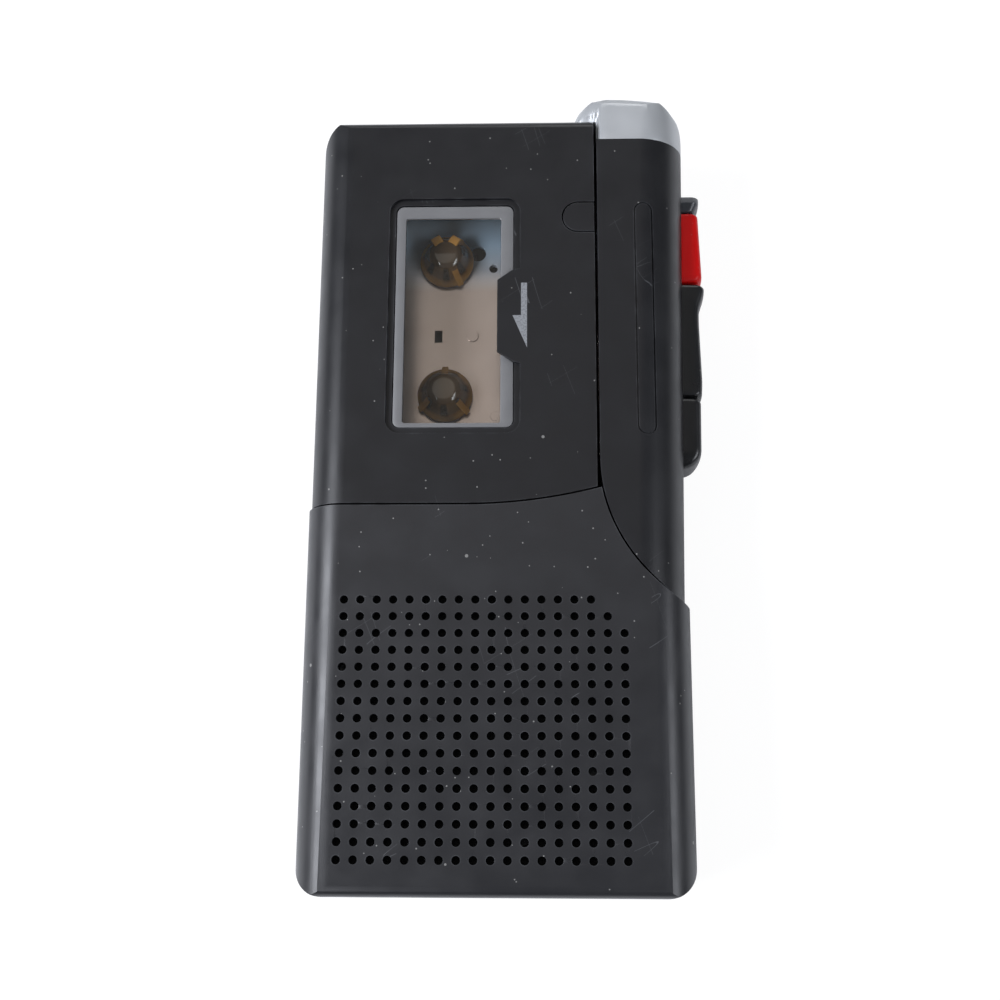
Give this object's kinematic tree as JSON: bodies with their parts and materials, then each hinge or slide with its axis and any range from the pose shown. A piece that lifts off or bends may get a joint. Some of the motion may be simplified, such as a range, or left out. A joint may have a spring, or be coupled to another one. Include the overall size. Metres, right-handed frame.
{
  "type": "microcassette recorder",
  "caption": "Pocket microcassette recorder with a hinged cassette lid and window, drilled speaker grille, side keys, silver microphone cap and working tape drive inside.",
  "frame": {"origin": "middle of the back face of the case", "axes": "+Z out of the front face, +Y towards the top end, +X towards the keys"},
  "size_m": [0.0672, 0.1334, 0.024],
  "materials": {
    "case_plastic": "satin black moulded plastic",
    "key_black": "satin black moulded plastic",
    "key_red": "semi-gloss red plastic",
    "key_grey": "satin dark grey plastic",
    "silver_paint": "satin silver paint on plastic",
    "window": "clear acrylic with a frosted border",
    "deck_metal": "zinc plated sheet",
    "steel": "bright steel",
    "brass": "turned brass",
    "spindle_plastic": "translucent amber brown plastic",
    "gear_plastic": "natural acetal",
    "rubber": "black rubber",
    "board": "green lacquered circuit board",
    "component": "moulded electronic parts",
    "cone_paper": "black pressed paper",
    "cloth": "black woven dust cloth",
    "magnet": "plated magnet pot",
    "motor_can": "drawn steel can",
    "cell": "plain metal jacket"
  },
  "bodies": {
    "case": {"rear_case": "case_plastic", "front_housing": "case_plastic", "control_column": "case_plastic", "microphone_cap": "silver_paint", "case_screws": "steel", "stop_spring": "steel", "play_spring": "steel", "record_spring": "steel", "key_bracket": "deck_metal", "deck_plate": "deck_metal", "deck_screws": "steel", "cassette_frame": "case_plastic", "spindle_pins": "steel", "idler_post": "steel", "capstan_bush": "brass", "drive_belt": "rubber", "drive_motor": "motor_can", "circuit_board": "board", "board_components": "component", "board_screws": "steel", "volume_control": "steel", "speaker_basket": "steel", "speaker_cone": "cone_paper", "speaker_magnet": "magnet", "grille_cloth": "cloth", "microphone_capsule": "steel", "microphone_boot": "rubber", "earphone_jack": "key_black", "microphone_jack": "key_black", "power_jack": "key_black", "speed_switch": "component", "battery_cells": "cell", "battery_contacts": "steel"},
    "lid": {"cassette_lid": "case_plastic", "lid_window": "window", "lid_hinge_pins": "steel", "cassette_springs": "steel"},
    "catch": {"lid_catch": "case_plastic"},
    "stop": {"stop_key": "key_black"},
    "play": {"play_key": "key_black"},
    "record": {"record_key": "key_red"},
    "pause": {"pause_slider": "key_grey"},
    "head_carriage": {"head_plate": "deck_metal", "play_head": "steel", "erase_head": "component", "pinch_arm": "deck_metal", "pinch_axle": "steel"},
    "roller": {"pinch_roller": "rubber"},
    "takeup": {"takeup_spindle": "spindle_plastic", "takeup_gear": "gear_plastic"},
    "supply": {"supply_spindle": "spindle_plastic", "supply_gear": "gear_plastic"},
    "idler": {"idler_gear": "gear_plastic"},
    "capstan": {"flywheel": "brass", "capstan_shaft": "steel", "capstan_gear": "gear_plastic"},
    "rotor": {"motor_pulley": "brass"},
    "volume": {"volume_dial": "key_black"},
    "speed": {"speed_knob": "key_black"},
    "door": {"battery_door": "case_plastic"}
  },
  "joints": [
    {"name": "lid_hinge", "type": "hinge", "parent": "case", "child": "lid", "pos_m": [-0.0298, 0.03, 0.0108], "axis": [0, -1, 0], "range_deg": [0, 80]},
    {"name": "catch_press", "type": "slide", "parent": "lid", "child": "catch", "axis": [0, 0, -1], "range_m": [0, 0.0006], "stiffness_N_per_m": 400},
    {"name": "stop_press", "type": "slide", "parent": "case", "child": "stop", "axis": [-1, 0, 0], "range_m": [0, 0.002], "stiffness_N_per_m": 400, "deforming": ["stop_spring"]},
    {"name": "play_press", "type": "slide", "parent": "case", "child": "play", "axis": [-1, 0, 0], "range_m": [0, 0.002], "stiffness_N_per_m": 400, "deforming": ["play_spring"]},
    {"name": "record_press", "type": "slide", "parent": "case", "child": "record", "axis": [-1, 0, 0], "range_m": [0, 0.002], "stiffness_N_per_m": 400, "deforming": ["record_spring"]},
    {"name": "pause_slide", "type": "slide", "parent": "case", "child": "pause", "axis": [0, 1, 0], "range_m": [0, 0.0015]},
    {"name": "head_slide", "type": "slide", "parent": "case", "child": "head_carriage", "axis": [-1, 0, 0], "range_m": [0, 0.002]},
    {"name": "roller_spin", "type": "hinge", "parent": "head_carriage", "child": "roller", "pos_m": [0.01068, 0.01283, 0.012], "axis": [0, 0, 1], "continuous": true},
    {"name": "capstan_spin", "type": "hinge", "parent": "case", "child": "capstan", "pos_m": [0.00488, 0.01283, 0.012], "axis": [0, 0, 1], "continuous": true},
    {"name": "rotor_spin", "type": "hinge", "parent": "case", "child": "rotor", "pos_m": [-0.0182, -0.015, 0.012], "axis": [0, 0, 1], "continuous": true},
    {"name": "idler_spin", "type": "hinge", "parent": "case", "child": "idler", "pos_m": [-0.00078, 0.01512, 0.012], "axis": [0, 0, 1], "continuous": true},
    {"name": "takeup_spin", "type": "hinge", "parent": "case", "child": "takeup", "pos_m": [-0.0094, 0.0186, 0.012], "axis": [0, 0, 1], "continuous": true},
    {"name": "supply_spin", "type": "hinge", "parent": "case", "child": "supply", "pos_m": [-0.0094, 0.0434, 0.012], "axis": [0, 0, 1], "continuous": true},
    {"name": "volume_turn", "type": "hinge", "parent": "case", "child": "volume", "pos_m": [0.0229, -0.012, 0.006], "axis": [0, 0, 1], "range_deg": [0, 270]},
    {"name": "speed_slide", "type": "slide", "parent": "case", "child": "speed", "axis": [0, 1, 0], "range_m": [0, 0.004]},
    {"name": "door_slide", "type": "slide", "parent": "case", "child": "door", "axis": [0, -1, 0], "range_m": [0, 0.032]}
  ],
  "couplings": [
    {"joint": "head_slide", "follows": "play_press", "ratio": 1},
    {"joint": "rotor_spin", "follows": "capstan_spin", "ratio": 5.125},
    {"joint": "idler_spin", "follows": "capstan_spin", "ratio": -0.5},
    {"joint": "takeup_spin", "follows": "capstan_spin", "ratio": 0.38461}
  ]
}
